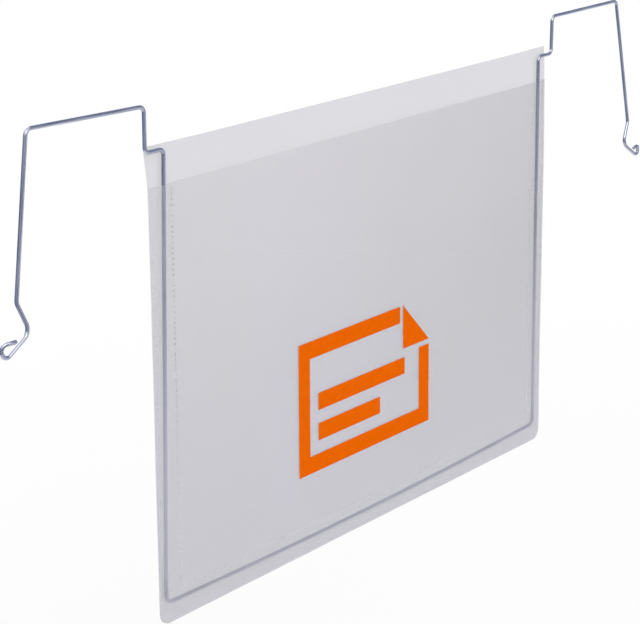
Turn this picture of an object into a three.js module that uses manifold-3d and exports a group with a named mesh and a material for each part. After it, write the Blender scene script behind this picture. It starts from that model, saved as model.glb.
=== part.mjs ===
// A hanging document pocket for A5 sheets: two clear foils welded round three sides,
// with one bent wire held in the channel between their two weld lines. The wire leaves the
// pocket at both upper corners and ends in a long open hook on each side.
// Millimetres. X runs across the pocket, Y towards the wall behind it, Z up.
// The origin lies midway between the two hooks, on the underside of their arms.
import * as THREE from "three";
import { mergeVertices } from "three/addons/utils/BufferGeometryUtils.js";
import Module from "manifold-3d";

const wasm = await Module();
wasm.setup();

// Foils
const pocketWidth = 240;
const pocketHeight = 165;
const frontEdgeDrop = 14;
const foilThickness = 0.3;
const bottomCornerRadius = 4.5;
const topCornerRadius = 1.5;

// Weld lines
const outerWeldWidth = 1.8;
const seamInset = 11.5;
const seamWidth = 1.6;
const foilSlope = 1.8;

// Room between the foils
const wireDiameter = 1.4;
const wireClearance = 0.15;
const documentRoom = 1;

// Wire inside the channel
const sideRunInsetTop = 6.9;
const sideRunInsetBottom = 4;
const bottomRunHeight = 8;
const bottomRunBow = 1.4;
const jogBelowTop = 2.5;

// Wire hooks, each length measured between the corners of the bent wire
const riserOutset = 2.8;
const armAboveTop = 13.2;
const armLength = 51.9;
const armSetBack = 0.6;
const legDrop = 51.4;
const legSplay = 8.4;
const legForward = 2.9;
const kinkDrop = 9;
const kinkInset = 4.4;
const kinkForward = 1;
const toeDrop = 7.3;
const toeOutset = 10.8;
const toeSetBack = 0.1;
const eyeRise = 5.7;
const eyeOutset = 2.8;
const eyeTailLength = 6;
const eyeTailForward = 1.6;
const eyeTailRise = 1;

// Bend radii, at the middle of the wire
const channelBendRadius = 3;
const jogBendRadius = 2;
const armBendRadius = 2.2;
const kinkBendRadius = 3.5;
const toeBendRadius = 2;
const bowRadius = 3600;

// Fineness of the facets
const wireSides = 12;
const arcSteps = 6;
const weldCornerSteps = 6;

// Values worked out from the sizes above
const wireRadius = wireDiameter / 2;
const halfWidth = pocketWidth / 2;
const foilPlane = wireRadius + wireClearance;
const topEdge = wireRadius - armAboveTop;
const bottomEdge = topEdge - pocketHeight;
const frontEdge = topEdge - frontEdgeDrop;
const channelRoom = wireDiameter + 2 * wireClearance;
const seamOuter = seamInset - seamWidth / 2;
const seamInner = seamInset + seamWidth / 2;
const windowInset = seamInner + foilSlope;

const foilColour = new THREE.Color(0.86, 0.86, 0.88);
const wireColour = new THREE.Color(0.55, 0.56, 0.6);

function foilMaterial() {
  return new THREE.MeshStandardMaterial({
    color: foilColour,
    roughness: 0.35,
    metalness: 0,
    transparent: true,
    opacity: 0.45,
  });
}

function wireMaterial() {
  return new THREE.MeshStandardMaterial({
    color: wireColour,
    roughness: 0.3,
    metalness: 1,
  });
}

function solidFrom(geometry) {
  const bare = geometry.index ? geometry.toNonIndexed() : geometry.clone();
  bare.deleteAttribute("normal");
  bare.deleteAttribute("uv");
  const merged = mergeVertices(bare, 1e-4);
  return new wasm.Manifold(
    new wasm.Mesh({
      numProp: 3,
      vertProperties: merged.attributes.position.array,
      triVerts: new Uint32Array(merged.index.array),
    }),
  );
}

function geometryFrom(solid) {
  const mesh = solid.getMesh();
  const geometry = new THREE.BufferGeometry();
  geometry.setAttribute("position", new THREE.BufferAttribute(mesh.vertProperties, 3));
  geometry.setIndex(new THREE.BufferAttribute(mesh.triVerts, 1));
  geometry.computeVertexNormals();
  return geometry;
}

function namedMesh(name, geometry, material) {
  const mesh = new THREE.Mesh(geometry, material);
  mesh.name = name;
  return mesh;
}

// An upright outline in the plane of the pocket, square at the top and round at the foot.
function pocketOutline(inset, top, topRadius, footRadius) {
  const side = halfWidth - inset;
  const foot = bottomEdge + inset;
  const shape = new THREE.Shape();
  shape.moveTo(-side + footRadius, foot);
  shape.lineTo(side - footRadius, foot);
  if (footRadius > 0) shape.absarc(side - footRadius, foot + footRadius, footRadius, -Math.PI / 2, 0, false);
  shape.lineTo(side, top - topRadius);
  if (topRadius > 0) shape.absarc(side - topRadius, top - topRadius, topRadius, 0, Math.PI / 2, false);
  shape.lineTo(-side + topRadius, top);
  if (topRadius > 0) {
    shape.absarc(-side + topRadius, top - topRadius, topRadius, Math.PI / 2, Math.PI, false);
  }
  shape.lineTo(-side, foot + footRadius);
  if (footRadius > 0) {
    shape.absarc(-side + footRadius, foot + footRadius, footRadius, Math.PI, 1.5 * Math.PI, false);
  }
  return shape;
}

// A plate with this outline between two depths along Y.
function plate(shape, front, back) {
  const geometry = new THREE.ExtrudeGeometry(shape, {
    depth: back - front,
    bevelEnabled: false,
    curveSegments: weldCornerSteps,
  });
  geometry.rotateX(Math.PI / 2);
  geometry.translate(0, back, 0);
  return geometry;
}

// The profile of the front foil across one edge of the pocket: distance in from the edge,
// and how far the foil's back face stands off the back sheet there.
function edgeProfile() {
  return [
    [0, 0],
    [outerWeldWidth, 0],
    [outerWeldWidth + foilSlope, channelRoom],
    [seamOuter - foilSlope, channelRoom],
    [seamOuter, 0],
    [seamInner, 0],
    [windowInset, documentRoom],
  ];
}

// The closed section of a channel strip: the profile, and the same profile one foil thickness
// further forward.
function stripSection() {
  const back = edgeProfile().map(([inset, room]) => new THREE.Vector2(inset, foilPlane - room));
  const front = back.map((point) => new THREE.Vector2(point.x, point.y - foilThickness));
  return [...back, ...front.reverse()];
}

// A strip of front foil along one edge, drawn out as a prism from its section. Seen from the
// front with inwards pointing up, the strip runs from its start to the left.
function stripPrism(start, inwards, length) {
  const section = new THREE.Shape(stripSection());
  const geometry = new THREE.ExtrudeGeometry(section, { depth: length, bevelEnabled: false });
  const back = new THREE.Vector3(0, 1, 0);
  const along = inwards.clone().cross(back);
  const axes = new THREE.Matrix4().makeBasis(inwards, back, along);
  geometry.applyMatrix4(axes.setPosition(start));
  return geometry;
}

// A flat wedge that keeps what lies on one side of the corner's mitre line.
function mitreWedge(points) {
  const deep = foilPlane + foilThickness;
  const near = foilPlane - channelRoom - 2 * foilThickness;
  return solidFrom(plate(new THREE.Shape(points), near, deep));
}

// The rounded outline of the pocket, as a block to trim the strips' outer corners with.
function outlineBlock() {
  const near = foilPlane - channelRoom - 2 * foilThickness;
  const outline = pocketOutline(0, frontEdge, 0, bottomCornerRadius);
  return solidFrom(plate(outline, near, foilPlane));
}

function backSheet() {
  const outline = pocketOutline(0, topEdge, topCornerRadius, bottomCornerRadius);
  return namedMesh("back_sheet", plate(outline, foilPlane, foilPlane + foilThickness), foilMaterial());
}

function frontWindow() {
  const back = foilPlane - documentRoom;
  const outline = pocketOutline(windowInset, frontEdge, 0, 0);
  return namedMesh("front_sheet_window", plate(outline, back - foilThickness, back), foilMaterial());
}

function sideChannel(name, side) {
  const inwards = new THREE.Vector3(-side, 0, 0);
  const start = new THREE.Vector3(side * halfWidth, 0, side > 0 ? frontEdge : bottomEdge);
  const strip = solidFrom(stripPrism(start, inwards, frontEdge - bottomEdge));
  const above = mitreWedge([
    new THREE.Vector2(side * halfWidth, bottomEdge),
    new THREE.Vector2(side * (halfWidth - windowInset), bottomEdge + windowInset),
    new THREE.Vector2(side * (halfWidth - windowInset), frontEdge),
    new THREE.Vector2(side * halfWidth, frontEdge),
  ]);
  const cut = strip.intersect(above).intersect(outlineBlock());
  return namedMesh(name, geometryFrom(cut), foilMaterial());
}

function bottomChannel() {
  const start = new THREE.Vector3(halfWidth, 0, bottomEdge);
  const strip = solidFrom(stripPrism(start, new THREE.Vector3(0, 0, 1), pocketWidth));
  const below = mitreWedge([
    new THREE.Vector2(-halfWidth, bottomEdge),
    new THREE.Vector2(halfWidth, bottomEdge),
    new THREE.Vector2(halfWidth - windowInset, bottomEdge + windowInset),
    new THREE.Vector2(-halfWidth + windowInset, bottomEdge + windowInset),
  ]);
  const cut = strip.intersect(below).intersect(outlineBlock());
  return namedMesh("front_sheet_bottom_channel", geometryFrom(cut), foilMaterial());
}

// The corners of one half of the wire, from the middle of the bottom run to the eye,
// each with the radius that it is bent to.
function halfWireCorners(side) {
  const corners = [];
  const here = new THREE.Vector3();
  const to = (out, back, z, radius) => {
    here.set(out, back, z);
    corners.push({ point: new THREE.Vector3(side * out, back, z), radius });
  };
  const step = (out, back, up, radius) => to(here.x + out, here.y + back, here.z + up, radius);
  to(halfWidth - sideRunInsetBottom, 0, bottomEdge + bottomRunHeight, channelBendRadius);
  to(halfWidth - sideRunInsetTop, 0, topEdge - jogBelowTop, jogBendRadius);
  to(halfWidth + riserOutset, 0, topEdge - jogBelowTop, jogBendRadius);
  to(halfWidth + riserOutset, 0, topEdge + armAboveTop, armBendRadius);
  step(armLength, armSetBack, 0, armBendRadius);
  step(legSplay, -legForward, -legDrop, kinkBendRadius);
  step(-kinkInset, -kinkForward, -kinkDrop, kinkBendRadius);
  step(toeOutset, toeSetBack, -toeDrop, toeBendRadius);
  step(eyeOutset, 0, eyeRise, toeBendRadius);
  step(-eyeTailLength, -eyeTailForward, eyeTailRise, 0);
  return corners;
}

function wireCorners() {
  const middle = {
    point: new THREE.Vector3(0, 0, bottomEdge + bottomRunHeight - 2 * bottomRunBow),
    radius: bowRadius,
  };
  return [...halfWireCorners(-1).reverse(), middle, ...halfWireCorners(1)];
}

// A path of straight runs joined by round bends, with its stations only where it turns.
class BentWire extends THREE.Curve {
  constructor(corners) {
    super();
    this.stations = [];
    corners.forEach((corner, index) => {
      const before = corners[index - 1];
      const after = corners[index + 1];
      if (before && after) this.addBend(before.point, corner, after.point);
      else this.addEnd(corner.point, before ? before.point : after.point, Boolean(before));
    });
  }

  addEnd(point, neighbour, last) {
    const tangent = last ? point.clone().sub(neighbour) : neighbour.clone().sub(point);
    this.stations.push({ point: point.clone(), tangent: tangent.normalize() });
  }

  addBend(before, corner, after) {
    const incoming = corner.point.clone().sub(before).normalize();
    const outgoing = after.clone().sub(corner.point).normalize();
    const turn = incoming.angleTo(outgoing);
    const setBack = corner.radius * Math.tan(turn / 2);
    const axis = incoming.clone().cross(outgoing).normalize();
    const towardsCentre = axis.clone().cross(incoming);
    const start = corner.point.clone().addScaledVector(incoming, -setBack);
    const centre = start.clone().addScaledVector(towardsCentre, corner.radius);
    for (let i = 0; i <= arcSteps; i++) {
      const angle = (turn * i) / arcSteps;
      const arm = start.clone().sub(centre).applyAxisAngle(axis, angle);
      const tangent = incoming.clone().applyAxisAngle(axis, angle);
      this.stations.push({ point: arm.add(centre), tangent });
    }
  }

  getPoint(t, target = new THREE.Vector3()) {
    const [from, to, share] = this.between(t);
    return target.lerpVectors(from.point, to.point, share);
  }

  getTangent(t, target = new THREE.Vector3()) {
    const [from, to, share] = this.between(t);
    return target.lerpVectors(from.tangent, to.tangent, share).normalize();
  }

  getPointAt(u, target) {
    return this.getPoint(u, target);
  }

  getTangentAt(u, target) {
    return this.getTangent(u, target);
  }

  between(t) {
    const place = t * (this.stations.length - 1);
    const index = Math.min(Math.floor(place + 1e-6), this.stations.length - 2);
    return [this.stations[index], this.stations[index + 1], place - index];
  }
}

function circlePoints(radius, sides) {
  return Array.from({ length: sides }, (_, i) => {
    const angle = (2 * Math.PI * i) / sides;
    return new THREE.Vector2(radius * Math.cos(angle), radius * Math.sin(angle));
  });
}

function wireHanger() {
  const path = new BentWire(wireCorners());
  const section = new THREE.Shape(circlePoints(wireRadius, wireSides));
  const geometry = new THREE.ExtrudeGeometry(section, {
    steps: path.stations.length - 1,
    extrudePath: path,
  });
  return namedMesh("wire_hanger", geometryFrom(solidFrom(geometry)), wireMaterial());
}

const group = new THREE.Group();
group.add(backSheet());
group.add(frontWindow());
group.add(sideChannel("front_sheet_left_channel", -1));
group.add(sideChannel("front_sheet_right_channel", 1));
group.add(bottomChannel());
group.add(wireHanger());

export default group;
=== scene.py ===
import math

import bmesh
import bpy
from mathutils import Matrix, Vector, noise


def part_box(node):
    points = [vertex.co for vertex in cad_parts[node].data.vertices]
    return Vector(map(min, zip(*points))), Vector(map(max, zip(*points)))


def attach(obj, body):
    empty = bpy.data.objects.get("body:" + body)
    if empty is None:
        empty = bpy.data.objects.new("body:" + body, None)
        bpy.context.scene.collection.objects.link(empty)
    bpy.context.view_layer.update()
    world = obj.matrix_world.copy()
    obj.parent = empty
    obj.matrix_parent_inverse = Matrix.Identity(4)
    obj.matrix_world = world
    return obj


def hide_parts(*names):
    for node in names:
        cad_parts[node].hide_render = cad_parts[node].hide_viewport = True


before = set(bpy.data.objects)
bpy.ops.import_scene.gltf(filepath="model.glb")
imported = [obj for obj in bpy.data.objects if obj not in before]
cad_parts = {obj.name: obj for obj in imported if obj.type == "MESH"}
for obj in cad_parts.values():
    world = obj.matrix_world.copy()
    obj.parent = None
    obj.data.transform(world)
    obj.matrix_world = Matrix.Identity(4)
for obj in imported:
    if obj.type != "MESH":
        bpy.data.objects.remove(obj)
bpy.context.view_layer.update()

MM = 0.001

# Sizes of the pocket, in metres, from the frame where it gives them
sheet_low, sheet_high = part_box("back_sheet")
window_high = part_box("front_sheet_window")[1]
channel_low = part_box("front_sheet_left_channel")[0]
half_width = sheet_high.x
top_edge = sheet_high.z
bottom_edge = sheet_low.z
front_edge = window_high.z + 0.8 * MM  # the photographed foil reaches a little higher
foil_plane = sheet_low.y
foil_thickness = sheet_high.y - sheet_low.y
wire_radius = 0.7 * MM
channel_room = foil_plane - channel_low.y - foil_thickness
bulge = channel_room / 2
weld_plane = foil_plane - bulge

outer_weld_width = 1.9 * MM
seam_inset = 10.7 * MM  # the dots lie on the flat beside the fold, outside the solid's seam
seam_width = 1.6 * MM
seam_outer = seam_inset - seam_width / 2
seam_inner = seam_inset + seam_width / 2
window_rise = 0.5 * MM
window_slope = 8 * MM
bottom_corner_radius = 4.5 * MM
weld_clearance = 0.03 * MM
crest_half_width = wire_radius + 0.15 * MM

# Bent wire, each length measured between the corners of the wire
side_run_inset_top = 6.9 * MM
side_run_inset_bottom = 4 * MM
bottom_run_height = 8 * MM
bottom_run_bow = 1.4 * MM
jog_below_top = 2.5 * MM
riser_outset = 2.8 * MM
arm_above_top = 13.2 * MM
arm_length = 51.9 * MM
arm_set_back = 0.6 * MM
leg_drop = 51.4 * MM
leg_splay = 8.4 * MM
leg_forward = 2.9 * MM
kink_drop = 9 * MM
kink_inset = 4.4 * MM
kink_forward = 1 * MM
toe_drop = 7.3 * MM
toe_outset = 10.8 * MM
toe_set_back = 0.1 * MM
eye_rise = 5.7 * MM
eye_outset = 2.8 * MM
eye_tail_length = 6 * MM
eye_tail_forward = 1.6 * MM
eye_tail_rise = 1 * MM
channel_bend_radius = 3 * MM
jog_bend_radius = 2 * MM
arm_bend_radius = 2.2 * MM
kink_bend_radius = 3.5 * MM
toe_bend_radius = 2 * MM
bow_radius = 3600 * MM

# Each hook was bent by hand: how much further each of its runs reaches than the even lengths
# above, outwards, to the back and up
left_hook = {
    "riser": (-0.68 * MM, 0, -0.63 * MM),
    "arm": (0.14 * MM, 0, 0.91 * MM),
    "leg": (1 * MM, 0, 1.97 * MM),
    "kink": (0.05 * MM, 0, -0.65 * MM),
    "toe": (-0.05 * MM, 0, 0.7 * MM),
    "eye": (0, 0, -0.6 * MM),
    "tail": (0, 0, -0.6 * MM),
}
right_hook = {
    "riser": (-0.1 * MM, 0, -0.87 * MM),
    "arm": (-0.26 * MM, 0, 0.45 * MM),
    "leg": (0.14 * MM, 0, -1.08 * MM),
    "kink": (-0.5 * MM, 0, 0.3 * MM),
    "toe": (1 * MM, 0, 0.2 * MM),
    "eye": (0, 0, -1.2 * MM),
    "tail": (-0.9 * MM, 0.6 * MM, -1.4 * MM),
}

# The pocket hangs a little askew on its wire: how far the wire's side runs lean and its two
# hooks and its foot run tilt, and how far it lies to the right and down in its channel
wire_lean = math.radians(0.59)
hook_tilt = math.radians(0.42)
foot_run_tilt = math.radians(0.06)
wire_shift = 0.94 * MM
foot_run_drop = 0.65 * MM

# Camera, at the photograph's viewing angle
camera_azimuth = math.radians(-52.67)
camera_elevation = math.radians(16.18)
camera_roll = math.radians(-0.34)
camera_distance = 795.2 * MM
camera_aim_right = -17.8 * MM
camera_aim_up = -91.1 * MM
camera_focal_pixels = 2230
photo_width_pixels = 640
sensor_width = 36
nearest_seen = 0.01
furthest_seen = 50


def make_camera():
    azimuth, elevation = camera_azimuth, camera_elevation
    back = Vector(
        (
            math.sin(azimuth) * math.cos(elevation),
            -math.cos(azimuth) * math.cos(elevation),
            math.sin(elevation),
        )
    )
    level = Vector((math.cos(azimuth), math.sin(azimuth), 0))
    upright = back.cross(level)
    right = level * math.cos(camera_roll) + upright * math.sin(camera_roll)
    up = upright * math.cos(camera_roll) - level * math.sin(camera_roll)
    data = bpy.data.cameras.new("camera")
    data.sensor_width = sensor_width
    data.lens = camera_focal_pixels / photo_width_pixels * sensor_width
    data.clip_start = nearest_seen
    data.clip_end = furthest_seen
    camera = bpy.data.objects.new("camera", data)
    place = right * camera_aim_right + up * camera_aim_up + back * camera_distance
    turn = Matrix((right, up, back)).transposed().to_4x4()
    camera.matrix_world = Matrix.Translation(place) @ turn
    bpy.context.scene.collection.objects.link(camera)
    bpy.context.scene.camera = camera


def new_object(name, mesh):
    thing = bpy.data.objects.new(name, mesh)
    bpy.context.scene.collection.objects.link(thing)
    return thing


def smooth_step(value):
    value = min(max(value, 0.0), 1.0)
    return value * value * (3 - 2 * value)


# The bent wire


def half_wire_corners(side):
    """Corners of one half of the wire from the bottom run to the eye, with their bend radii."""
    corners = []
    further = left_hook if side < 0 else right_hook

    def to(out, back, z, radius):
        corners.append((Vector((out, back, z)), radius))

    def step(run, out, back, up, radius):
        here = corners[-1][0] + Vector(further[run])
        to(here.x + out, here.y + back, here.z + up, radius)

    foot = bottom_edge + bottom_run_height
    jog = top_edge - jog_below_top
    riser_out = half_width + riser_outset + further["riser"][0]
    to(half_width - side_run_inset_bottom, 0, foot, channel_bend_radius)
    to(half_width - side_run_inset_top, 0, jog, jog_bend_radius)
    to(riser_out, 0, jog, jog_bend_radius)
    to(riser_out, 0, top_edge + arm_above_top + further["riser"][2], arm_bend_radius)
    step("arm", arm_length, arm_set_back, 0, arm_bend_radius)
    step("leg", leg_splay, -leg_forward, -leg_drop, kink_bend_radius)
    step("kink", -kink_inset, -kink_forward, -kink_drop, kink_bend_radius)
    step("toe", toe_outset, toe_set_back, -toe_drop, toe_bend_radius)
    step("eye", eye_outset, 0, eye_rise, toe_bend_radius)
    step("tail", -eye_tail_length, -eye_tail_forward, eye_tail_rise, 0)
    return [(Vector((side * p.x, p.y, p.z)), radius) for p, radius in corners]


bend_steps = 14
run_step = 4 * MM


def bent_path(corners):
    """Points and directions along straight runs joined by round bends."""
    stations = []

    def run_to(point, direction):
        if stations:
            start = stations[-1][0]
            count = max(1, int((point - start).length / run_step))
            for i in range(1, count):
                stations.append((start.lerp(point, i / count), direction.copy()))
        stations.append((point.copy(), direction.copy()))

    run_to(corners[0][0], (corners[1][0] - corners[0][0]).normalized())
    for before, (corner, radius), after in zip(corners, corners[1:], corners[2:]):
        incoming = (corner - before[0]).normalized()
        outgoing = (after[0] - corner).normalized()
        turn = incoming.angle(outgoing)
        axis = incoming.cross(outgoing).normalized()
        start = corner - incoming * radius * math.tan(turn / 2)
        centre = start + axis.cross(incoming) * radius
        run_to(start, incoming)
        for i in range(1, bend_steps + 1):
            spin = Matrix.Rotation(turn * i / bend_steps, 3, axis)
            stations.append((centre + spin @ (start - centre), spin @ incoming))
    run_to(corners[-1][0], (corners[-1][0] - corners[-2][0]).normalized())
    return stations


def as_it_hangs(point):
    """Where a corner of the wire lies once the wire has settled a little askew."""
    x = point.x + wire_shift + point.z * math.tan(wire_lean)
    if point.z < front_edge:
        return Vector((x, point.y, point.z - foot_run_drop - point.x * math.tan(foot_run_tilt)))
    return Vector((x, point.y, point.z - point.x * math.tan(hook_tilt)))


def wire_path():
    middle_height = bottom_edge + bottom_run_height - 2 * bottom_run_bow
    middle = (Vector((0, 0, middle_height)), bow_radius)
    corners = half_wire_corners(-1)[::-1] + [middle] + half_wire_corners(1)
    corners = [(as_it_hangs(point), radius) for point, radius in corners]
    return bent_path(corners)


wire_stations = wire_path()
wire_runs_in_channel = [
    (Vector((near.x, near.z)), Vector((far.x, far.z)))
    for (near, _), (far, _) in zip(wire_stations, wire_stations[1:])
    if max(abs(near.x), abs(far.x)) < half_width
]


def distance_to_wire(x, z):
    """How far a point of the pocket's plane lies from the middle of the wire."""
    nearest = math.inf
    for near, far in wire_runs_in_channel:
        span_x, span_z = far.x - near.x, far.y - near.y
        share = ((x - near.x) * span_x + (z - near.y) * span_z) / (span_x**2 + span_z**2)
        share = min(max(share, 0.0), 1.0)
        gap_x, gap_z = near.x + share * span_x - x, near.y + share * span_z - z
        nearest = min(nearest, gap_x**2 + gap_z**2)
    return math.sqrt(nearest)


# Where the foils lie


def side_inset(x):
    return half_width - abs(x)


def foot_inset(z):
    return z - bottom_edge


def weld_inset(x, z):
    return min(side_inset(x), foot_inset(z))


def channel_stand_off(x, z):
    """How far each foil stands off the weld plane: it lies flat in the welds and in the window,
    and rises in straight slopes to the wire between the two welds."""
    inset = weld_inset(x, z)
    if inset <= outer_weld_width or inset >= seam_outer:
        return 0.0
    beyond_crest = max(distance_to_wire(x, z) - crest_half_width, 0.0)
    to_weld = min(inset - outer_weld_width, seam_outer - inset)
    return bulge * to_weld / (to_weld + beyond_crest)


def front_stand_off(x, z):
    """The front foil follows the channel and stands a little off in the window."""
    inset = weld_inset(x, z)
    if inset > seam_inner:
        return window_rise * smooth_step((inset - seam_inner) / window_slope)
    return channel_stand_off(x, z)


free_reach = 12 * MM
free_fall = 12 * MM
free_margin = side_run_inset_top + 2.5 * MM


def back_stand_off(x, z):
    """The back foil follows the channel up to the front foil's edge. Above it, where nothing
    holds it forward, the wire keeps its whole side margin pushed back."""
    opened = smooth_step((z - front_edge) / free_reach)
    welded = channel_stand_off(x, z)
    inboard = max(side_inset(x) - free_margin, 0.0)
    return welded + opened * (max(bulge * math.exp(-inboard / free_fall), welded) - welded)


lean_inner = 2.9 * MM
lean_all_along = 0.3 * MM
lean_near_top = 0.4 * MM
lean_foot_reach = 40 * MM
lean_top_reach = 30 * MM


def margin_lean(x, z):
    """How far the right-hand margin outside the wire leans back, most of all near the top."""
    if x < 0:
        return 0.0
    across = (lean_inner - side_inset(x)) / (lean_inner - outer_weld_width)
    above_foot = smooth_step(foot_inset(z) / lean_foot_reach)
    near_top = smooth_step(1 - (front_edge - z) / lean_top_reach)
    return min(max(across, 0.0), 1.0) * (lean_all_along * above_foot + lean_near_top * near_top)


flare_depth_left = 0.9 * MM
flare_depth_right = 0.4 * MM
flare_reach = 5 * MM
flare_fall = 10 * MM
flare_curve = 1.5
wave_depth = 0.35 * MM
wave_length = 85 * MM
wave_reach = 25 * MM
wave_row = 3.7
ripple_depth = 0.1 * MM
ripple_length = 14 * MM
ripple_row = 9.1


def sway(x, z):
    """How far both foils lean back from flat: the free upper corners curl, the middle waves."""
    below_top = top_edge - z
    margin = max(0.0, 1 - side_inset(x) / flare_reach)
    depth = flare_depth_left if x < 0 else flare_depth_right
    flare = depth * margin**flare_curve * math.exp(-below_top / flare_fall)
    inside = smooth_step((weld_inset(x, z) - seam_inset) / wave_reach)
    wave = noise.noise(Vector((x / wave_length, wave_row, z / wave_length)))
    return flare + wave_depth * inside * wave


def margin_ripple(x, z):
    """A faint ripple of the free margin outside the wire."""
    free = smooth_step(1 - weld_inset(x, z) / outer_weld_width)
    ripple = noise.noise(Vector((x / ripple_length, ripple_row, z / ripple_length)))
    return ripple_depth * free * ripple


coarse_cell = 2.5 * MM
fine_cell_width = 0.25 * MM
fine_cell_height = 0.3 * MM
fine_margin = 12 * MM
fine_top_back = 18 * MM
fine_top_front = 4 * MM
sheet_sharp_angle = math.radians(40)


def grid_lines(low, high, low_fine, high_fine, fine):
    """Positions from low to high: close together within the fine stretches at both ends."""
    ends = [low, low + low_fine, high - high_fine, high]
    lines = []
    for start, stop, step in zip(ends, ends[1:], (fine, coarse_cell, fine)):
        count = max(1, round((stop - start) / step))
        lines += [start + (stop - start) * i / count for i in range(count)]
    return lines + [high]


def round_foot(x, z):
    """Moves a point of the square foot corner onto the rounded one."""
    centre_x = math.copysign(half_width - bottom_corner_radius, x)
    centre_z = bottom_edge + bottom_corner_radius
    u = (abs(x) - abs(centre_x)) / bottom_corner_radius
    v = (centre_z - z) / bottom_corner_radius
    if u <= 0 or v <= 0:
        return x, z
    u, v = u * math.sqrt(1 - v * v / 2), v * math.sqrt(1 - u * u / 2)
    across = math.copysign(u * bottom_corner_radius, x)
    return centre_x + across, centre_z - v * bottom_corner_radius


def closed_sheet(name, points, cells, back_face, thickness):
    """A thin closed sheet: its back face from a function, its front face one thickness forward."""
    count = len(points)
    verts = [(x, back_face(x, z) - depth, z) for depth in (0.0, thickness) for x, z in points]
    faces = []
    sides = set()
    for cell in cells:
        faces.append(cell)
        faces.append([index + count for index in reversed(cell)])
        sides.update(zip(cell, cell[1:] + cell[:1]))
    for start, stop in sides:
        if (stop, start) not in sides:
            faces.append([stop, start, start + count, stop + count])
    mesh = bpy.data.meshes.new(name)
    mesh.from_pydata(verts, [], faces)
    mesh.polygons.foreach_set("use_smooth", [True] * len(mesh.polygons))
    mesh.set_sharp_from_angle(angle=sheet_sharp_angle)
    return new_object(name, mesh)


def grid_cells(columns, rows):
    """Cells of a grid whose points run along each row in turn, seen from behind."""
    cells = []
    for row in range(rows - 1):
        for column in range(columns - 1):
            low = row * columns + column
            high = low + columns
            cells.append([low, high, high + 1, low + 1])
    return cells


def foil_sheet(name, top, fine_top, back_face):
    """A foil from the pocket's foot up to its own top edge."""
    x_lines = grid_lines(-half_width, half_width, fine_margin, fine_margin, fine_cell_width)
    z_lines = grid_lines(bottom_edge, top, fine_margin, fine_top, fine_cell_height)
    points = [round_foot(x, z) for z in z_lines for x in x_lines]
    cells = grid_cells(len(x_lines), len(z_lines))
    return closed_sheet(name, points, cells, back_face, foil_thickness)


def back_face_of_back_foil(x, z):
    stand_off = max(back_stand_off(x, z), margin_lean(x, z))
    return weld_plane + foil_thickness + stand_off + sway(x, z) + margin_ripple(x, z)


def back_face_of_front_foil(x, z):
    stand_off = max(front_stand_off(x, z), weld_clearance) - margin_lean(x, z)
    return weld_plane - stand_off + sway(x, z) + margin_ripple(x, z)


def back_foil():
    return foil_sheet("back_foil", top_edge, fine_top_back, back_face_of_back_foil)


def front_foil():
    return foil_sheet("front_foil", front_edge, fine_top_front, back_face_of_front_foil)


# The bent wire as a bar


wire_sides = 20
wire_tip_chamfer = 0.22 * MM
wire_sharp_angle = math.radians(50)


def swept_wire(name, stations, radius):
    """A round bar along the stations, its ends slightly chamfered, with a UV map of its length."""
    rings = []
    across = stations[0][1].orthogonal().normalized()
    travelled = 0.0
    last = stations[0][0]
    for point, direction in stations:
        across = (across - direction * across.dot(direction)).normalized()
        travelled += (point - last).length
        last = point
        rings.append((point, direction, across.copy(), radius, travelled))

    def tip_ring(ring, beyond):
        point, direction, side, reach, along = ring
        return point + direction * beyond, direction, side, reach - wire_tip_chamfer, along + beyond

    nose, tail = tip_ring(rings[0], -wire_tip_chamfer), tip_ring(rings[-1], wire_tip_chamfer)
    rings = [nose, *rings, tail]
    mesh_maker = bmesh.new()
    uv_layer = mesh_maker.loops.layers.uv.new("along")
    loops = []
    for point, direction, side, reach, _ in rings:
        other = direction.cross(side)
        circle = []
        for i in range(wire_sides):
            angle = 2 * math.pi * i / wire_sides
            spoke = side * math.cos(angle) + other * math.sin(angle)
            circle.append(mesh_maker.verts.new(point + spoke * reach))
        loops.append(circle)
    for (low, high), (near, far) in zip(zip(loops, loops[1:]), zip(rings, rings[1:])):
        for i in range(wire_sides):
            j = (i + 1) % wire_sides
            face = mesh_maker.faces.new((low[i], low[j], high[j], high[i]))
            face.smooth = True
            u, next_u = i / wire_sides, (i + 1) / wire_sides
            corners = ((u, near[-1]), (next_u, near[-1]), (next_u, far[-1]), (u, far[-1]))
            for loop, uv in zip(face.loops, corners):
                loop[uv_layer].uv = uv
    mesh_maker.faces.new(loops[0][::-1])
    mesh_maker.faces.new(loops[-1])
    mesh = bpy.data.meshes.new(name)
    mesh_maker.to_mesh(mesh)
    mesh_maker.free()
    mesh.set_sharp_from_angle(angle=wire_sharp_angle)
    return new_object(name, mesh)


def bent_wire():
    return swept_wire("bent_wire", wire_stations, wire_radius)


# Weld dots


dot_pitch = 1.8 * MM
dot_radius = 0.38 * MM
dot_height = 0.1 * MM
dot_jitter = 0.07 * MM
dot_clearance = 0.01 * MM
dot_size_spread = 0.18
size_noise, x_noise, z_noise = 700, 431, 277  # scales of the noise that varies each dot
dot_rings = ((0.35, 0.94), (0.7, 0.71), (0.92, 0.39), (1.0, 0.0))
dot_sides = 10
dot_sharp_angle = math.radians(60)
seam_top = front_edge - 2 * MM
edge_dot_inset = 1.1 * MM
edge_dot_radius = 0.3 * MM
edge_dot_top = front_edge - 1 * MM


def dotted_line(start, stop):
    """Places from start to stop, one pitch apart."""
    span = Vector(stop) - Vector(start)
    count = round(span.length / dot_pitch)
    return [Vector(start) + span * (i / count) for i in range(count + 1)]


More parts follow.
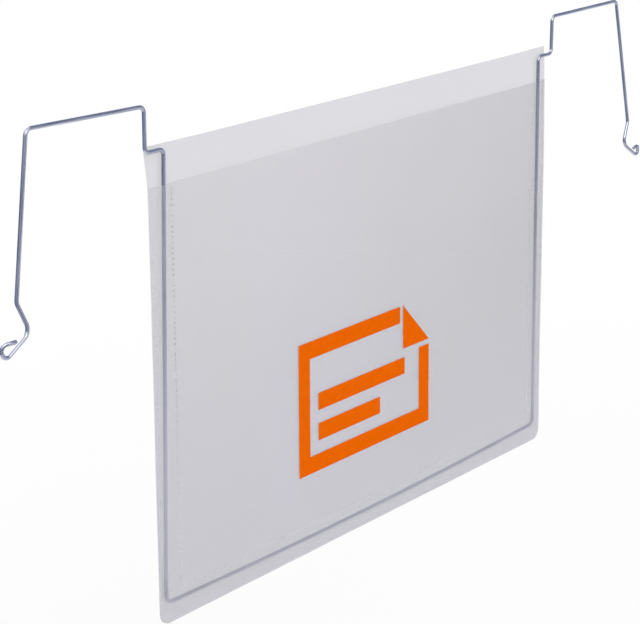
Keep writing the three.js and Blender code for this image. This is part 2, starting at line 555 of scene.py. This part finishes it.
def welded_u(inset, top, foot_gap=0.0):
    """Dot places down the left side, along the foot and up the right side."""
    side = half_width - inset
    foot = bottom_edge + inset
    left = dotted_line((-side, 0, top), (-side, 0, foot + foot_gap))
    along = dotted_line((-side + foot_gap, 0, foot), (side - foot_gap, 0, foot))
    right = dotted_line((side, 0, foot + foot_gap), (side, 0, top))
    return left + along[1:-1] + right


def weld_dots(name, places, radius):
    """Small lens shapes that stand a little proud of the front foil's front face. The rings
    round the middle of each are given as shares of its radius and of its height."""
    verts, faces = [], []

    def ground(x, z):
        return back_face_of_front_foil(x, z) - foil_thickness - dot_clearance

    for place in places:
        reach = radius * (1 + dot_size_spread * noise.noise(place * size_noise))
        x = place.x + dot_jitter * noise.noise(place * x_noise)
        z = place.z + dot_jitter * noise.noise(place * z_noise)
        first = len(verts)
        verts.append((x, ground(x, z) - dot_height, z))
        for share, rise in dot_rings:
            for i in range(dot_sides):
                angle = 2 * math.pi * i / dot_sides
                ring_x = x + reach * share * math.cos(angle)
                ring_z = z + reach * share * math.sin(angle)
                verts.append((ring_x, ground(ring_x, ring_z) - dot_height * rise, ring_z))
        for i in range(dot_sides):
            j = (i + 1) % dot_sides
            faces.append([first, first + 1 + i, first + 1 + j])
            for ring in range(len(dot_rings) - 1):
                near = first + 1 + ring * dot_sides
                far = near + dot_sides
                faces.append([near + i, far + i, far + j, near + j])
        last = first + 1 + (len(dot_rings) - 1) * dot_sides
        faces.append([last + i for i in reversed(range(dot_sides))])
    mesh = bpy.data.meshes.new(name)
    mesh.from_pydata(verts, [], faces)
    mesh.polygons.foreach_set("use_smooth", [True] * len(mesh.polygons))
    mesh.set_sharp_from_angle(angle=dot_sharp_angle)
    return new_object(name, mesh)


# The printed mark: a plain landscape sheet with a folded corner and two lines on it


mark_left = -44 * MM
mark_right = 37.5 * MM
mark_top = top_edge - 84.5 * MM
mark_bottom = top_edge - 134.5 * MM
mark_stroke = 6.5 * MM
mark_fold = 17 * MM
mark_gap = 2 * MM
mark_line_gap = 5 * MM
mark_line_lengths = (38 * MM, 54 * MM)
mark_thickness = 0.06 * MM
mark_clearance = 0.02 * MM
mark_cell = 1.3 * MM
mark_cells_across = 7


def add_patch(points, cells, corners):
    """Fills four corners, low left first and clockwise, with a grid of cells."""
    across = mark_cells_across
    low_left, high_left, high_right, low_right = [Vector(corner) for corner in corners]
    along = max(1, round((low_right - low_left).length / mark_cell))
    first = len(points)
    for i in range(across + 1):
        start = low_left.lerp(high_left, i / across)
        stop = low_right.lerp(high_right, i / across)
        points += [tuple(start.lerp(stop, j / along)) for j in range(along + 1)]
    cells += [[first + index for index in cell] for cell in grid_cells(along + 1, across + 1)]


def sheet_outline_patches():
    """Four strokes round the sheet, mitred where they meet, open at the folded corner."""
    inner_left, inner_right = mark_left + mark_stroke, mark_right - mark_stroke
    inner_bottom, inner_top = mark_bottom + mark_stroke, mark_top - mark_stroke
    top_end = mark_right - mark_fold - mark_gap
    side_end = mark_top - mark_fold - mark_gap
    low_left, high_left = (mark_left, mark_bottom), (mark_left, mark_top)
    low_right = (mark_right, mark_bottom)
    inner_low_left, inner_high_left = (inner_left, inner_bottom), (inner_left, inner_top)
    inner_low_right = (inner_right, inner_bottom)
    foot = [low_left, inner_low_left, inner_low_right, low_right]
    left = [high_left, inner_high_left, inner_low_left, low_left]
    top = [(top_end, mark_top), (top_end, inner_top), inner_high_left, high_left]
    right = [low_right, inner_low_right, (inner_right, side_end), (mark_right, side_end)]
    return [foot, left, top, right]


def fold_patches():
    """The folded corner, a triangle split into three four-sided patches."""
    corners = [
        Vector((mark_right - mark_fold, mark_top)),
        Vector((mark_right, mark_top - mark_fold)),
        Vector((mark_right - mark_fold, mark_top - mark_fold)),
    ]
    centre = sum(corners, Vector((0, 0))) / 3
    patches = []
    for before, corner, after in zip(corners[2:] + corners[:2], corners, corners[1:] + corners[:1]):
        patches.append([before.lerp(corner, 0.5), corner, corner.lerp(after, 0.5), centre])
    return patches


def line_patches():
    """The lines of print on the sheet, one above the other."""
    patches = []
    left = mark_left + mark_stroke + mark_line_gap
    for index, length in enumerate(mark_line_lengths):
        low = mark_bottom + mark_stroke + mark_line_gap + index * (mark_stroke + mark_line_gap)
        high = low + mark_stroke
        patches.append([(left, low), (left, high), (left + length, high), (left + length, low)])
    return patches


def printed_mark():
    points, cells = [], []
    for corners in sheet_outline_patches() + fold_patches() + line_patches():
        add_patch(points, cells, corners)

    def back_face(x, z):
        return back_face_of_front_foil(x, z) - foil_thickness - mark_clearance

    return closed_sheet("printed_sheet_mark", points, cells, back_face, mark_thickness)


# Materials


def material(name):
    made = bpy.data.materials.new(name)
    made.use_nodes = True
    tree = made.node_tree
    tree.nodes.clear()
    output = tree.nodes.new("ShaderNodeOutputMaterial")
    shader = tree.nodes.new("ShaderNodeBsdfPrincipled")
    tree.links.new(shader.outputs["BSDF"], output.inputs["Surface"])
    return made, tree, shader


def noise_texture(tree, vector, scale, detail=2, roughness=0.5):
    node = tree.nodes.new("ShaderNodeTexNoise")
    node.inputs["Scale"].default_value = scale
    node.inputs["Detail"].default_value = detail
    node.inputs["Roughness"].default_value = roughness
    tree.links.new(vector, node.inputs["Vector"])
    return node.outputs["Fac"]


def mapped(tree, output_name, scale=(1, 1, 1)):
    coordinates = tree.nodes.new("ShaderNodeTexCoord")
    mapping = tree.nodes.new("ShaderNodeMapping")
    mapping.inputs["Scale"].default_value = scale
    tree.links.new(coordinates.outputs[output_name], mapping.inputs["Vector"])
    return mapping.outputs["Vector"]


def ramp(tree, factor, stops):
    node = tree.nodes.new("ShaderNodeValToRGB")
    node.color_ramp.elements[0].position = stops[0][0]
    node.color_ramp.elements[0].color = (*stops[0][1], 1)
    node.color_ramp.elements[1].position = stops[-1][0]
    node.color_ramp.elements[1].color = (*stops[-1][1], 1)
    for position, colour in stops[1:-1]:
        node.color_ramp.elements.new(position).color = (*colour, 1)
    tree.links.new(factor, node.inputs["Fac"])
    return node.outputs["Color"]


def map_range(tree, factor, source, target=(0, 1), interpolation="LINEAR"):
    """A number taken from one range to another, and held at its ends."""
    node = tree.nodes.new("ShaderNodeMapRange")
    node.interpolation_type = interpolation
    node.inputs["From Min"].default_value, node.inputs["From Max"].default_value = source
    node.inputs["To Min"].default_value, node.inputs["To Max"].default_value = target
    tree.links.new(factor, node.inputs["Value"])
    return node.outputs["Result"]


def spread(tree, factor, low, high):
    """A number from nought to one, taken to the range from low to high."""
    return map_range(tree, factor, (0, 1), (low, high))


def maths(tree, operation, *values):
    node = tree.nodes.new("ShaderNodeMath")
    node.operation = operation
    for socket, value in zip(node.inputs, values):
        if isinstance(value, (int, float)):
            socket.default_value = value
        else:
            tree.links.new(value, socket)
    return node.outputs["Value"]


def bump(tree, shader, height, distance, strength):
    node = tree.nodes.new("ShaderNodeBump")
    node.inputs["Strength"].default_value = strength
    node.inputs["Distance"].default_value = distance
    tree.links.new(height, node.inputs["Height"])
    tree.links.new(node.outputs["Normal"], shader.inputs["Normal"])


def blend(tree, factor, first, second):
    node = tree.nodes.new("ShaderNodeMix")
    node.data_type = "RGBA"
    tree.links.new(factor, node.inputs["Factor"])
    tree.links.new(first, node.inputs["A"])
    tree.links.new(second, node.inputs["B"])
    return node.outputs["Result"]


def object_axes(tree):
    """The pocket's own X, Y and Z at each point of a surface."""
    coordinates = tree.nodes.new("ShaderNodeTexCoord")
    split = tree.nodes.new("ShaderNodeSeparateXYZ")
    tree.links.new(coordinates.outputs["Object"], split.inputs["Vector"])
    return split.outputs


def depth_below_top(tree):
    """Nought at the pocket's upper edge and one at its foot."""
    return map_range(tree, object_axes(tree)["Z"], (top_edge, bottom_edge))


def upper_right_shade_share(tree, depth):
    """One at the pocket's upper right corner, where the foil's colour paints shade, fading out
    towards the left and the foot.
    """
    to_right = map_range(tree, object_axes(tree)["X"], (-half_width / 2, half_width))
    return maths(tree, "MULTIPLY", to_right, spread(tree, depth, 1, 0))


cloud_stops = (0.38, 0.62)
draw_line_scale = (90, 1, 6)
draw_line_height = 3


def foil_material(name, top, foot, haze, corner=None):
    """Soft clear foil: a grey haze with slow clouds of tint, a fine grain and faint draw lines.
    Top, foot and the upper right corner each have a pair of tints that the clouds run between;
    the corner's pair is darker and paints shade there.
    The haze is one number, or a row of depths with the haze at each."""
    made, tree, shader = material(name)
    place = mapped(tree, "Object")
    depth = depth_below_top(tree)
    clouds = noise_texture(tree, place, scale=14, roughness=0.4)

    def clouded(pair):
        return ramp(tree, clouds, list(zip(cloud_stops, pair)))

    tint = blend(tree, depth, clouded(top), clouded(foot))
    if corner:
        # The corner's darker tints paint shade on the upper right
        tint = blend(tree, upper_right_shade_share(tree, depth), tint, clouded(corner))
    tree.links.new(tint, shader.inputs["Base Color"])
    grain = noise_texture(tree, place, scale=1400, detail=3, roughness=0.6)
    tree.links.new(spread(tree, grain, low=0.3, high=0.44), shader.inputs["Roughness"])
    lines = noise_texture(tree, mapped(tree, "Object", draw_line_scale), scale=1)
    relief = maths(tree, "MULTIPLY_ADD", lines, draw_line_height, grain)
    bump(tree, shader, relief, distance=0.02 * MM, strength=0.5)
    if isinstance(haze, float):
        shader.inputs["Alpha"].default_value = haze
    else:
        levels = [(down, (level, level, level)) for down, level in haze]
        tree.links.new(ramp(tree, depth, levels), shader.inputs["Alpha"])
    shader.inputs["IOR"].default_value = 1.45
    shader.inputs["Specular IOR Level"].default_value = 0.25
    return made


dot_stops_near_top = (0.55, 0.62)
dot_stops_near_foot = (0.32, 0.36)
# Depths over which the painted highlights take over from the painted shade on the dots
dot_highlights_grow = (0.5, 0.8)


def dot_material(name, dark, light, alpha):
    """Pressed dots of the weld, real dots whose dark and light colours are painted shade and
    painted highlights: mostly dark near the top and more of them light near the foot.
    """
    made, tree, shader = material(name)
    patch = noise_texture(tree, mapped(tree, "Object"), scale=420, detail=1)
    near_top = ramp(tree, patch, list(zip(dot_stops_near_top, (dark, light))))
    near_foot = ramp(tree, patch, list(zip(dot_stops_near_foot, (dark, light))))
    lower = map_range(tree, depth_below_top(tree), dot_highlights_grow)
    tree.links.new(blend(tree, lower, near_top, near_foot), shader.inputs["Base Color"])
    shader.inputs["Roughness"].default_value = 0.35
    shader.inputs["Alpha"].default_value = alpha
    return made


# The stretches over which the painted highlight, a lighter colour on the wire's side runs, fades
# in: from the window outwards, from the middle height down, and from the foot run up
highlight_outwards = (half_width - 12 * MM, half_width - 8 * MM)
highlight_downwards = (top_edge - 60 * MM, top_edge - 115 * MM)
highlight_upwards = (bottom_edge + 10 * MM, bottom_edge + 18 * MM)


def side_run_highlight_share(tree):
    """One where the painted highlight lies, on the lower half of the wire's two side runs, fading
    out upwards and at the corners.
    """
    axes = object_axes(tree)
    beside = map_range(tree, maths(tree, "ABSOLUTE", axes["X"]), highlight_outwards)
    below = map_range(tree, axes["Z"], highlight_downwards)
    above = map_range(tree, axes["Z"], highlight_upwards)
    return maths(tree, "MULTIPLY", maths(tree, "MULTIPLY", beside, below), above)


streak_scale = (7, 60, 1)
plain_plating = [(0.34, (0.36, 0.37, 0.47)), (0.5, (0.46, 0.47, 0.57)), (0.66, (0.62, 0.63, 0.7))]
# Lighter colours that paint a highlight on the lower half of the wire's side runs
painted_highlight_plating = [(0.34, (0.8, 0.81, 0.87)), (0.66, (0.88, 0.89, 0.94))]


def wire_material():
    """Drawn, zinc-plated steel: long streaks along the wire and a slightly mottled plating, with a
    painted highlight that makes the lower half of the side runs brighter."""
    made, tree, shader = material("zinc_wire")
    streaks = noise_texture(tree, mapped(tree, "UV", streak_scale), scale=1)
    mottle = noise_texture(tree, mapped(tree, "Object"), scale=900)
    plain = ramp(tree, streaks, plain_plating)
    painted_highlight = ramp(tree, streaks, painted_highlight_plating)
    # Blends in the painted highlight on the lower side runs
    colour = blend(tree, side_run_highlight_share(tree), plain, painted_highlight)
    tree.links.new(colour, shader.inputs["Base Color"])
    tree.links.new(spread(tree, mottle, low=0.15, high=0.21), shader.inputs["Roughness"])
    bump(tree, shader, streaks, distance=0.02 * MM, strength=0.3)
    shader.inputs["Metallic"].default_value = 1
    return made


ink = [(0.3, (0.71, 0.112, 0.0015)), (0.7, (0.76, 0.122, 0.0015))]


def print_material():
    """Flat orange ink with a very fine unevenness."""
    made, tree, shader = material("orange_print")
    place = mapped(tree, "Object")
    patch = noise_texture(tree, place, scale=500, detail=3)
    tree.links.new(ramp(tree, patch, ink), shader.inputs["Base Color"])
    tree.links.new(spread(tree, patch, low=0.5, high=0.62), shader.inputs["Roughness"])
    bump(tree, shader, noise_texture(tree, place, scale=2200), distance=0.01 * MM, strength=0.4)
    shader.inputs["Specular IOR Level"].default_value = 0
    return made


# Studio


floor_drop = 260 * MM
floor_size = 12
floor_white = (0.92, 0.92, 0.92, 1)
floor_glow_near = 0.75  # how much of its own white the floor shows right under the pocket
backdrop = (0.5, 1.4)  # from here to here the floor fades to white
world_level = 0.8
plain_white = (1, 1, 1, 1)


def see_through_rays(tree):
    """One for a ray that looks at the background: from the camera, off gloss or through glass."""
    path = tree.nodes.new("ShaderNodeLightPath").outputs
    seen = maths(tree, "MAXIMUM", path["Is Camera Ray"], path["Is Glossy Ray"])
    return maths(tree, "MAXIMUM", seen, path["Is Transmission Ray"])


def make_world():
    """White where it is looked at, and a little dimmer as a light."""
    world = bpy.data.worlds.new("studio")
    bpy.context.scene.world = world
    world.use_nodes = True
    tree = world.node_tree
    tree.nodes.clear()
    output = tree.nodes.new("ShaderNodeOutputWorld")
    mix = tree.nodes.new("ShaderNodeMixShader")
    tree.links.new(see_through_rays(tree), mix.inputs["Fac"])
    for socket, strength in zip((mix.inputs[1], mix.inputs[2]), (world_level, 1)):
        sky = tree.nodes.new("ShaderNodeBackground")
        sky.inputs["Color"].default_value = plain_white
        sky.inputs["Strength"].default_value = strength
        tree.links.new(sky.outputs["Background"], socket)
    tree.links.new(mix.outputs["Shader"], output.inputs["Surface"])


def floor_material():
    """Pale matt floor that keeps the shadow near the pocket and fades to white further off."""
    made = bpy.data.materials.new("pale_floor")
    made.use_nodes = True
    tree = made.node_tree
    tree.nodes.clear()
    output = tree.nodes.new("ShaderNodeOutputMaterial")
    matt = tree.nodes.new("ShaderNodeBsdfDiffuse")
    matt.inputs["Color"].default_value = floor_white
    white = tree.nodes.new("ShaderNodeEmission")
    white.inputs["Strength"].default_value = 1
    mix = tree.nodes.new("ShaderNodeMixShader")
    coordinates = tree.nodes.new("ShaderNodeTexCoord")
    length = tree.nodes.new("ShaderNodeVectorMath")
    length.operation = "LENGTH"
    tree.links.new(coordinates.outputs["Object"], length.inputs[0])
    fade = map_range(tree, length.outputs["Value"], backdrop, interpolation="SMOOTHSTEP")
    glow = spread(tree, fade, floor_glow_near, 1)
    seen_glow = maths(tree, "MULTIPLY", glow, see_through_rays(tree))
    tree.links.new(seen_glow, mix.inputs["Fac"])
    tree.links.new(matt.outputs["BSDF"], mix.inputs[1])
    tree.links.new(white.outputs["Emission"], mix.inputs[2])
    tree.links.new(mix.outputs["Shader"], output.inputs["Surface"])
    return made


def flat_card(w, h):
    """Corners, edges and the one face of a level card, from its half width and half depth."""
    return [(-w, -h, 0), (w, -h, 0), (w, h, 0), (-w, h, 0)], [], [(0, 1, 2, 3)]


def make_floor():
    mesh = bpy.data.meshes.new("floor")
    mesh.from_pydata(*flat_card(floor_size / 2, floor_size / 2))
    floor = new_object("floor", mesh)
    floor.location.z = bottom_edge - floor_drop
    mesh.materials.append(floor_material())


def soft_lamp(name, place, size, power):
    """A rectangular lamp that faces the middle of the pocket."""
    aim = Vector((0, 0, (top_edge + bottom_edge) / 2))
    data = bpy.data.lights.new(name, "AREA")
    data.shape = "RECTANGLE"
    data.size, data.size_y = size
    data.energy = power
    lamp = bpy.data.objects.new(name, data)
    lamp.location = place
    lamp.rotation_mode = "QUATERNION"
    lamp.rotation_quaternion = (aim - Vector(place)).to_track_quat("-Z", "Y")
    bpy.context.scene.collection.objects.link(lamp)


def make_lamps():
    soft_lamp("key_lamp", place=(-0.7, -0.9, 0.7), size=(0.5, 0.5), power=5)
    soft_lamp("fill_lamp", place=(1.3, -1.1, -0.18), size=(1.2, 0.4), power=4)
    soft_lamp("rim_lamp", place=(0.3, 1.5, 0.9), size=(1.2, 0.7), power=6)


dark_grey = (0.28, 0.31, 0.4, 1)
soft_grey = (0.33, 0.36, 0.46, 1)
mid_grey = (0.45, 0.48, 0.58, 1)
light_grey = (0.69, 0.72, 0.8, 1)
bright_white = (1.7, 1.7, 1.75, 1)
card_step = math.radians(8)

# Each ring card's start and stop, counted from the pocket's right towards its back, left and front
left_arc = (math.radians(87), math.radians(195))
strip_arc = (math.radians(195), math.radians(240))
front_arc = (math.radians(240), math.radians(277))
right_floor_arc = (math.radians(277), math.radians(365))
right_arc = (math.radians(300), math.radians(365))
sky_arc = (math.radians(200), math.radians(285))

# The profiles of the ring cards, as radius and height
card_foot = bottom_edge - floor_drop + 5 * MM
floor_profile = [(0.5, card_foot), (1.35, card_foot)]
left_profile = [*floor_profile, (1.35, card_foot + 0.7)]
right_profile = [(1.35, -0.34), (1.35, 0.3)]
sky_profile = [(1.1, 0.35), (1.1, 1.5)]

high_card_half_size = (1.0, 0.5)
high_card_place = (0.85, -0.2, 0.6)


def glowing_card(name, colour, verts, edges, faces):
    """A glowing card that only gloss mirrors, so that the wire gets its dark and light bands."""
    mesh = bpy.data.meshes.new(name)
    mesh.from_pydata(verts, edges, faces)
    card = new_object(name, mesh)
    made = bpy.data.materials.new(name)
    made.use_nodes = True
    tree = made.node_tree
    tree.nodes.clear()
    output = tree.nodes.new("ShaderNodeOutputMaterial")
    glow = tree.nodes.new("ShaderNodeEmission")
    glow.inputs["Color"].default_value = colour
    tree.links.new(glow.outputs["Emission"], output.inputs["Surface"])
    mesh.materials.append(made)
    card.visible_camera = False
    card.visible_diffuse = False
    card.visible_transmission = False
    card.visible_shadow = False
    return card


def ring_card(name, colour, arc, profile):
    """A card bent round the upright axis: a profile of radius and height, swept by an angle."""
    start, stop = arc
    steps = max(1, round((stop - start) / card_step))
    verts = []
    for i in range(steps + 1):
        angle = start + (stop - start) * i / steps
        verts += [(math.cos(angle) * radius, math.sin(angle) * radius, z) for radius, z in profile]
    faces = []
    for i in range(steps):
        for j in range(len(profile) - 1):
            near = len(profile) * i + j
            far = near + len(profile)
            faces.append([near, far, far + 1, near + 1])
    glowing_card(name, colour, verts, [], faces)


def make_cards():
    """Grey cards round the left, the front and the right, one above right, and a white one above
    and in front."""
    ring_card("left_card", dark_grey, left_arc, left_profile)
    ring_card("strip_card", mid_grey, strip_arc, left_profile)
    ring_card("front_card", dark_grey, front_arc, left_profile)
    ring_card("right_floor_card", light_grey, right_floor_arc, floor_profile)
    ring_card("right_card", soft_grey, right_arc, right_profile)
    hung = glowing_card("high_card", soft_grey, *flat_card(*high_card_half_size))
    hung.location = high_card_place
    hung.rotation_mode = "QUATERNION"
    hung.rotation_quaternion = (-hung.location).to_track_quat("Z", "Y")
    ring_card("sky_card", bright_white, sky_arc, sky_profile)


def place(piece, finish, slot, *nodes):
    piece.data.materials.append(finish)
    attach(piece, "root")
    if nodes:
        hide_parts(*nodes)


make_camera()
make_world()
make_floor()
make_lamps()
make_cards()

back_tints = ((0.455, 0.455, 0.5), (0.475, 0.46, 0.52))
back_finish = foil_material("clear_foil", top=back_tints, foot=back_tints, haze=0.33)
front_finish = foil_material(
    "clear_front_foil",
    top=((0.53, 0.53, 0.57), (0.55, 0.53, 0.59)),
    foot=((0.56, 0.56, 0.61), (0.575, 0.56, 0.63)),
    haze=[(0.0, 0.14), (0.3, 0.18), (0.6, 0.26), (0.85, 0.31), (1.0, 0.29)],
    # The corner tints are darker: painted shade on the foil's upper right
    corner=((0.34, 0.345, 0.365), (0.36, 0.35, 0.38)),
)
place(back_foil(), back_finish, "clear_foil", "back_sheet")
place(
    front_foil(),
    front_finish,
    "clear_foil",
    "front_sheet_window",
    "front_sheet_left_channel",
    "front_sheet_right_channel",
    "front_sheet_bottom_channel",
)
place(bent_wire(), wire_material(), "zinc_wire", "wire_hanger")
# The dark and light dot colours are painted shade and painted highlights on the weld dots
seam_finish = dot_material(
    "weld_dot", dark=(0.38, 0.38, 0.41), light=(0.78, 0.78, 0.82), alpha=0.34
)
edge_finish = dot_material(
    "edge_dot", dark=(0.45, 0.45, 0.49), light=(0.66, 0.66, 0.7), alpha=0.12
)
seam_places = welded_u(seam_inset, seam_top)
edge_places = welded_u(edge_dot_inset, edge_dot_top, bottom_corner_radius)
place(weld_dots("inner_weld_dots", seam_places, dot_radius), seam_finish, "clear_foil")
place(weld_dots("outer_weld_dots", edge_places, edge_dot_radius), edge_finish, "clear_foil")
place(printed_mark(), print_material(), "orange_print")

settings = bpy.context.scene.view_settings
settings.view_transform = "Standard"
